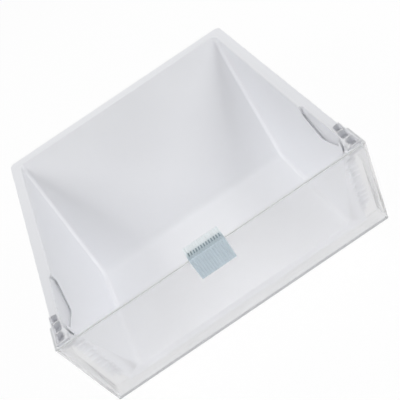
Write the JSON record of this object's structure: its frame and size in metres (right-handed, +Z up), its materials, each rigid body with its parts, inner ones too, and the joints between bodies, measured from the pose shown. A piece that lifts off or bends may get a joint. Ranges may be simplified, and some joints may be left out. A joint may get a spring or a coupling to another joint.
{
  "type": "fridge drawer",
  "caption": "Fridge vegetable drawer: white moulded tub with a flat rim and a long sloped back, clear front panel with clip-on corner ears, and a ribbed pale-blue grip on its top edge.",
  "frame": {"origin": "middle of the bottom of the drawer's box, in the plane it stands on", "axes": "+X to the right seen from the front, +Y from the front panel to the back, +Z up"},
  "size_m": [0.43, 0.4098, 0.1498],
  "materials": {
    "white_plastic": "satin moulded polystyrene",
    "clear_plastic": "clear moulded polystyrene",
    "blue_plastic": "ribbed pale blue plastic"
  },
  "bodies": {
    "root": {"tub": "white_plastic", "front_panel": "clear_plastic", "grip": "blue_plastic"}
  },
  "joints": []
}
